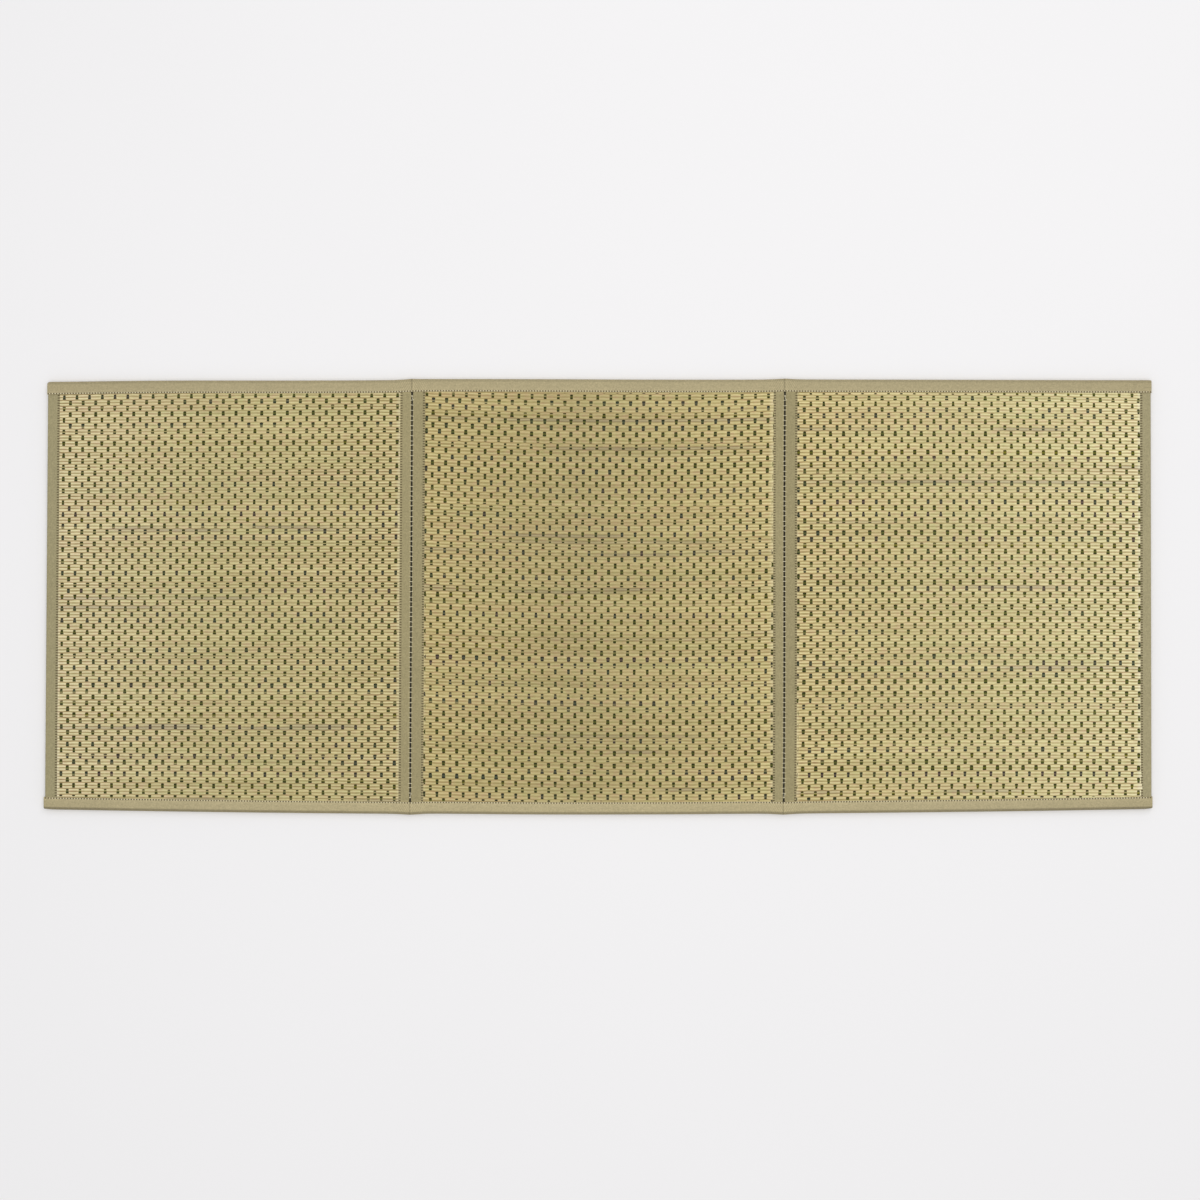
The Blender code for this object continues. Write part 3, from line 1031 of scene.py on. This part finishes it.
def dressed(mesh, finish, binding, length, closed=()):
    """The object of one folded binding: its cloth gets its thickness inwards."""
    bm = bmesh.new()
    bm.from_mesh(mesh)
    bm.verts.ensure_lookup_table()
    for ring in closed:
        bm.faces.new([bm.verts[k] for k in ring])
    bmesh.ops.recalc_face_normals(bm, faces=bm.faces)
    if max(bm.faces, key=lambda face: face.calc_center_median().z).normal.z < 0:
        bmesh.ops.reverse_faces(bm, faces=bm.faces)
    bm.to_mesh(mesh)
    bm.free()
    obj = shown(mesh, [finish])
    solid = obj.modifiers.new("cloth thickness", "SOLIDIFY")
    solid.thickness = CLOTH_DRAWN
    solid.offset = -1.0
    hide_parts(binding.node)


def middle_of(binding):
    """Y of a long binding's middle, for what it crosses."""
    return -binding.way * (HALF_DEPTH - binding.width / 2)


def outer_edge(binding, x):
    """Y of a long binding's outer edge."""
    return back_edge(x) if binding.way < 0 else front_edge(x)


def fold_lines(binding):
    """X of the two folds where that long binding crosses them."""
    middle = middle_of(binding)
    pairs = ((STRIPS[1], STRIPS[2]), (STRIPS[3], STRIPS[4]))
    return [float(strip_face(a, middle) + strip_face(b, middle)) / 2 for a, b in pairs]


def steps_between(low, high, step):
    """Places from low to high, about one step apart."""
    return list(np.linspace(low, high, max(2, round((high - low) / step) + 1)))


def over_short_bindings(x, y):
    """1 where a long binding lies over a short one, 0 over the panels' field."""
    raised = np.zeros_like(x)
    for strip in STRIPS:
        inside = strip.way * (x - strip_face(strip, y))
        raised = np.maximum(raised, np.where(inside > -SLIT, 1 - ramp(inside, strip.width), 0.0))
    return raised


class MAT_OT_bindings(bpy.types.Operator):
    """Fold the cloth bindings over the edges of the panels"""

    bl_idname = "rush_mat.bindings"
    bl_label = "Cloth Bindings"

    def execute(self, context):
        sizes, colours = context.scene.mat_sizes, context.scene.mat_colours
        for number, strip in enumerate(STRIPS):
            finish = cloth_finish(strip.node + "_cotton", colours, sizes.cross_stitch,
                                  STRIP_TONES[number], slit=0 < number < 5)
            self.short(strip, finish, sizes.cross_stitch / 2)
        for binding, tone in zip(LONGS, LONG_TONES):
            finish = cloth_finish(binding.node + "_cotton", colours, sizes.stitch, tone,
                                  fold_lines(binding), binding.width, binding.shade)
            self.long(binding, finish, sizes.stitch / 2)
        return {"FINISHED"}

    def short(self, strip, finish, step):
        low = front_edge(strip.front) + STACK + END_SETBACK
        high = back_edge(strip.back) - STACK - END_SETBACK
        stations = steps_between(low, high, step)
        section = folded_points(strip.width)
        mesh, _, _, y, distance, on_top, off = binding_mesh(strip.node + "_cloth", stations, section)
        face = strip_face(strip, y)
        free = open_along(face, y)
        top = mix(TUCKED_TOP, BINDING_TOP, free)
        bottom = mix(STACK, 0.0, free)
        stitch, lift = sewn_edge(strip, distance, on_top, y, step, 0.25 * MM)
        z = np.where(on_top, top - off + lift, bottom + off)
        at_fold = strip not in (STRIPS[0], STRIPS[-1])
        belly = np.clip((z - 0.2 * MM) * (8.4 * MM - z) / (4.1 * MM) ** 2, 0, 1)
        belly = belly * (distance < 0.1 * MM) * (1.14 * MM if at_fold else 0.3 * MM)
        write_places(mesh, face + strip.way * (distance + stitch - belly), y, z)
        write_map(mesh, "cloth", y, strip.width - distance)
        dressed(mesh, finish, strip, high - low)

    def long(self, binding, finish, step):
        middle = middle_of(binding)
        low = float(strip_face(STRIPS[0], middle)) - binding.left_end
        high = float(strip_face(STRIPS[-1], middle)) + binding.right_end
        ends = [0.0, 0.3 * MM, 0.8 * MM, 1.6 * MM, 2.6 * MM]
        stations = [low + d for d in ends]
        stations += steps_between(low + 4 * MM, high - 4 * MM, step)
        stations += [high - d for d in reversed(ends)]
        section = folded_points(binding.width)
        mesh, i, j, x, distance, on_top, off = binding_mesh(binding.node + "_cloth", stations, section)

        raised = over_short_bindings(x, middle)
        top = mix(BINDING_TOP, CROSSING_TOP, raised)
        crease = self.crease(binding, x)
        near = np.minimum(x - low, high - x)
        corner = np.where(x < 0, binding.left_corner, binding.right_corner)
        turn = np.clip(corner - near, 0, corner)
        tuck = corner - np.sqrt(np.maximum(corner ** 2 - turn ** 2, 0))
        drawn = 1.3 * MM * np.clip(1 - near / (26 * MM), 0, 1) ** 2 * (binding.way > 0)
        tuck = tuck + drawn
        stitch, lift = sewn_edge(binding, distance, on_top, x, step, 0.2 * MM)
        lift = lift + self.pucker(binding, x, distance) - crease - tuck * 0.5
        z = np.where(on_top, top - off + lift, off + tuck * 0.3)
        inward = distance + stitch
        inward = np.where(distance < binding.width * 0.5, np.maximum(inward, tuck), inward)
        inward = inward - self.peak(binding, x) * np.clip(1 - distance / binding.width, 0, 1)
        write_places(mesh, x, outer_edge(binding, x) + binding.way * inward, z)
        write_map(mesh, "cloth", x, binding.width - distance)
        rings = []
        for column in (0, len(stations) - 1):
            members = np.flatnonzero(i == column)
            rings.append(members[np.argsort(j[members])].tolist())
        dressed(mesh, finish, binding, high - low, rings)

    def crease(self, binding, x):
        """How far the cloth sinks into each fold's slit."""
        return sum(0.9 * MM * np.exp(-((x - fold) / (1.2 * MM)) ** 2) for fold in fold_lines(binding))

    def peak(self, binding, x):
        """How far the outer edge stands out at each fold, where the cloth is bent over."""
        return sum(0.9 * MM * np.exp(-np.abs(x - fold) / (9 * MM)) for fold in fold_lines(binding))

    def pucker(self, binding, x, distance):
        """Fine wrinkles that fan out from the sewn line on both sides of a fold."""
        lift = np.zeros_like(x)
        for fold in fold_lines(binding):
            away = np.abs(x - fold)
            fade = np.exp(-(away / (32 * MM)) ** 2)
            lift += 0.16 * MM * fade * np.sin(2 * math.pi * (away + distance * 0.7) / (5.5 * MM))
        return lift * np.clip(distance / (6 * MM), 0, 1)


# Sewing


def bead(length, width, height):
    """One stitch that lies on the cloth: a small rounded lozenge."""
    bm = bmesh.new()
    bmesh.ops.create_uvsphere(bm, u_segments=6, v_segments=3, radius=0.5)
    bmesh.ops.rotate(bm, verts=bm.verts, matrix=Matrix.Rotation(math.pi / 2, 3, "Y"))
    bmesh.ops.scale(bm, verts=bm.verts, vec=(length, width, height))
    return finished(bm, "stitch")


def strand(points, radius, sides=6):
    """A round thread along a few points: a ring of edges extruded from each to the next."""
    bm = bmesh.new()
    bmesh.ops.create_circle(bm, segments=sides, radius=radius, cap_ends=True)
    heads = [Vector(point) for point in points]
    start = (heads[1] - heads[0]).to_track_quat("Z", "Y").to_matrix()
    bmesh.ops.rotate(bm, verts=bm.verts, matrix=start)
    bmesh.ops.translate(bm, verts=bm.verts, vec=heads[0])
    ring = bm.edges[:]
    for number in range(1, len(heads)):
        ring, verts = extruded(bm, ring)
        bmesh.ops.translate(bm, verts=verts, vec=heads[number] - heads[number - 1])
        if number < len(heads) - 1:
            before = heads[number] - heads[number - 1]
            after = heads[number + 1] - heads[number]
            turn = before.rotation_difference(after).to_matrix()
            bmesh.ops.rotate(bm, verts=verts, cent=heads[number], matrix=turn)
    bmesh.ops.holes_fill(bm, edges=ring, sides=0)
    bmesh.ops.recalc_face_normals(bm, faces=bm.faces)
    return finished(bm, "thread")


def joined(name, parts):
    """One mesh of several, which are then removed themselves."""
    bm = bmesh.new()
    for part in parts:
        bm.from_mesh(part)
        bpy.data.meshes.remove(part)
    return finished(bm, name)


class MAT_OT_sewing(bpy.types.Operator):
    """Sew the bindings on, and join the two bindings of each fold with ladder stitches"""

    bl_idname = "rush_mat.sewing"
    bl_label = "Sewing"

    def execute(self, context):
        sizes, colours = context.scene.mat_sizes, context.scene.mat_colours
        light = thread_finish("light_thread", tuple(colours.thread))
        dark = thread_finish("dark_thread", srgb(104, 90, 58))
        for binding in LONGS:
            self.along(binding, sizes, light)
        for strip in STRIPS:
            self.across(strip, sizes, dark)
        for number in (1, 2):
            self.ladder(number, STRIPS[2 * number - 1], STRIPS[2 * number], sizes, light)
        return {"FINISHED"}

    def along(self, binding, sizes, finish):
        """A row of stitches just inside the sewn edge of a long binding."""
        step = sizes.stitch
        low, high = -899 * MM, 899 * MM
        first = math.ceil(low / step)
        count = math.floor(high / step) - first
        mesh = repeated(bead(2.6 * MM, 1.7 * MM, 0.9 * MM), (0, count, step))
        places = read_places(mesh)
        x = places[:, 0] + (first + 0.5) * step
        y = outer_edge(binding, x) + binding.way * (binding.width - 1.5 * MM) + places[:, 1]
        raised = over_short_bindings(x, middle_of(binding))
        z = mix(BINDING_TOP, CROSSING_TOP, raised) - 0.15 * MM + places[:, 2]
        write_places(mesh, x, y, z)
        mesh.name = binding.node + "_stitches"
        shown(mesh, [finish])

    def across(self, strip, sizes, finish):
        """Short stitches square to the sewn edge of a short binding."""
        step = sizes.cross_stitch
        first = math.ceil((-330 * MM) / step)
        count = math.floor(330 * MM / step) - first
        mesh = repeated(bead(1.2 * MM, 3.2 * MM, 0.8 * MM), (0, count, step))
        places = read_places(mesh)
        y = places[:, 0] + first * step
        x = strip_face(strip, y) + strip.way * (strip.width - 1.1 * MM) + places[:, 1]
        slope = np.clip(strip.way * places[:, 1] / (1.4 * MM), -1, 1)
        z = BINDING_TOP - 0.38 * MM - 0.18 * MM * slope + places[:, 2]
        write_places(mesh, x, y, z)
        # The row of stitches was made along X, and swapping X for Y turned its faces inwards.
        mesh.flip_normals()
        mesh.name = strip.node + "_stitches"
        shown(mesh, [finish])

    def ladder(self, number, left, right, sizes, finish):
        """Stitches from lip to lip over the open slit of a fold, with a knot at each end."""
        reach = SLIT / 2 + 1.5 * MM
        half = ((SLIT * 0.45, -0.05 * MM), (reach - 0.5 * MM, 0.12 * MM), (reach, -0.5 * MM))
        over = [(-x, 0, z) for x, z in reversed(half)]
        over += [(0, 0, -0.5 * MM)]
        over += [(x, 0, z) for x, z in half]
        step = sizes.ladder
        first = math.ceil(-322 * MM / step)
        count = math.floor(322 * MM / step) - first + 1
        mesh = repeated(strand(over, 0.55 * MM), (1, count, step))
        places = read_places(mesh)
        cell = np.floor(places[:, 1] / step + 0.5).astype(int)
        dice = np.random.default_rng(number).uniform(-1, 1, (2, count + 2))
        y = places[:, 1] + first * step + dice[0][cell] * 0.8 * MM
        lean = places[:, 0] * dice[1][cell] * 0.2
        middle = (strip_face(left, y) + strip_face(right, y)) / 2
        write_places(mesh, middle + places[:, 0], y + lean, places[:, 2] + BINDING_TOP)
        knots = [self.knot(left, right, way) for way in (-1, 1)]
        whole = joined("fold_%d_ladder" % number, [mesh, *knots])
        shown(whole, [finish])

    def knot(self, left, right, way):
        """A knot at the end of a fold's seam, with a short tail of thread."""
        y = way * 327 * MM
        x = float(strip_face(left, y) + strip_face(right, y)) / 2
        bm = bmesh.new()
        bmesh.ops.create_icosphere(bm, subdivisions=2, radius=1.3 * MM)
        bmesh.ops.scale(bm, verts=bm.verts, vec=(1.2, 0.8, 0.7))
        knot = finished(bm, "knot")
        tail = strand([(0, 0, 0.2 * MM), (0.5 * MM, -way * 1.6 * MM, 0.5 * MM),
                       (0.3 * MM, -way * 3.6 * MM, 0.2 * MM), (1.6 * MM, -way * 5.4 * MM, 0.3 * MM),
                       (3.2 * MM, -way * 5.6 * MM, 0.4 * MM)], 0.4 * MM)
        whole = joined("knot", [knot, tail])
        whole.transform(Matrix.Translation((x, y, BINDING_TOP)))
        return whole


# Stage


class MAT_OT_stage(bpy.types.Operator):
    """Lay the floor, hang the lights and set the camera straight above the mat"""

    bl_idname = "rush_mat.stage"
    bl_label = "Stage"

    def execute(self, context):
        scene = context.scene
        scene.view_settings.view_transform = "Standard"
        self.floor(scene)
        self.lights(scene)
        self.camera(scene)
        return {"FINISHED"}

    def floor(self, scene):
        bm = bmesh.new()
        bmesh.ops.create_grid(bm, x_segments=8, y_segments=8, size=4.0)
        bmesh.ops.translate(bm, verts=bm.verts, vec=(0.0, 0.0, -0.2 * MM))
        mesh = finished(bm, "floor")
        mesh.materials.append(floor_finish(scene.mat_colours))
        floor = bpy.data.objects.new("floor", mesh)
        scene.collection.objects.link(floor)

    def lights(self, scene):
        world = bpy.data.worlds.new("soft room")
        world.use_nodes = True
        background = world.node_tree.nodes["Background"]
        background.inputs["Color"].default_value = (1.0, 1.0, 1.0, 1.0)
        background.inputs["Strength"].default_value = 0.60
        scene.world = world
        for name, place, size, power in (
            ("overhead softbox", (0.10, 0.05, 5.0), 5.0, 120.0),
            ("back softbox", (1.2, 2.6, 3.0), 1.6, 16.0),
        ):
            light = bpy.data.lights.new(name, "AREA")
            light.shape = "SQUARE"
            light.size = size
            light.energy = power
            lamp = bpy.data.objects.new(name, light)
            lamp.location = place
            lamp.rotation_euler = (-lamp.location).to_track_quat("-Z", "Y").to_euler()
            scene.collection.objects.link(lamp)

    def camera(self, scene):
        seen_across = 1954.4 * MM
        height = 3.2
        data = bpy.data.cameras.new("camera")
        data.sensor_width = 36.0
        data.lens = 36.0 * height / seen_across
        data.clip_end = 50.0
        camera = bpy.data.objects.new("camera", data)
        camera.location = (3.1 * MM, -5.3 * MM, height + FIELD_TOP)
        scene.collection.objects.link(camera)
        scene.camera = camera


class MAT_PT_sidebar(bpy.types.Panel):
    """The mat's sizes, colours and pieces"""

    bl_idname = "MAT_PT_sidebar"
    bl_label = "Rush Mat"
    bl_space_type = "VIEW_3D"
    bl_region_type = "UI"
    bl_category = "Rush Mat"

    def draw(self, context):
        layout = self.layout
        for group in (context.scene.mat_sizes, context.scene.mat_colours):
            column = layout.column()
            for name in group.__annotations__:
                column.prop(group, name)
        for operator in PIECES:
            layout.operator(operator.bl_idname)


PIECES = (MAT_OT_panels, MAT_OT_bindings, MAT_OT_sewing, MAT_OT_stage)
CLASSES = (MatSizes, MatColours, *PIECES, MAT_PT_sidebar)


def register():
    for kind in CLASSES:
        bpy.utils.register_class(kind)
    bpy.types.Scene.mat_sizes = PointerProperty(type=MatSizes)
    bpy.types.Scene.mat_colours = PointerProperty(type=MatColours)


def unregister():
    del bpy.types.Scene.mat_colours
    del bpy.types.Scene.mat_sizes
    for kind in reversed(CLASSES):
        bpy.utils.unregister_class(kind)


def main():
    register()
    bpy.ops.rush_mat.panels()
    bpy.ops.rush_mat.bindings()
    bpy.ops.rush_mat.sewing()
    bpy.ops.rush_mat.stage()


if __name__ == "__main__":
    main()
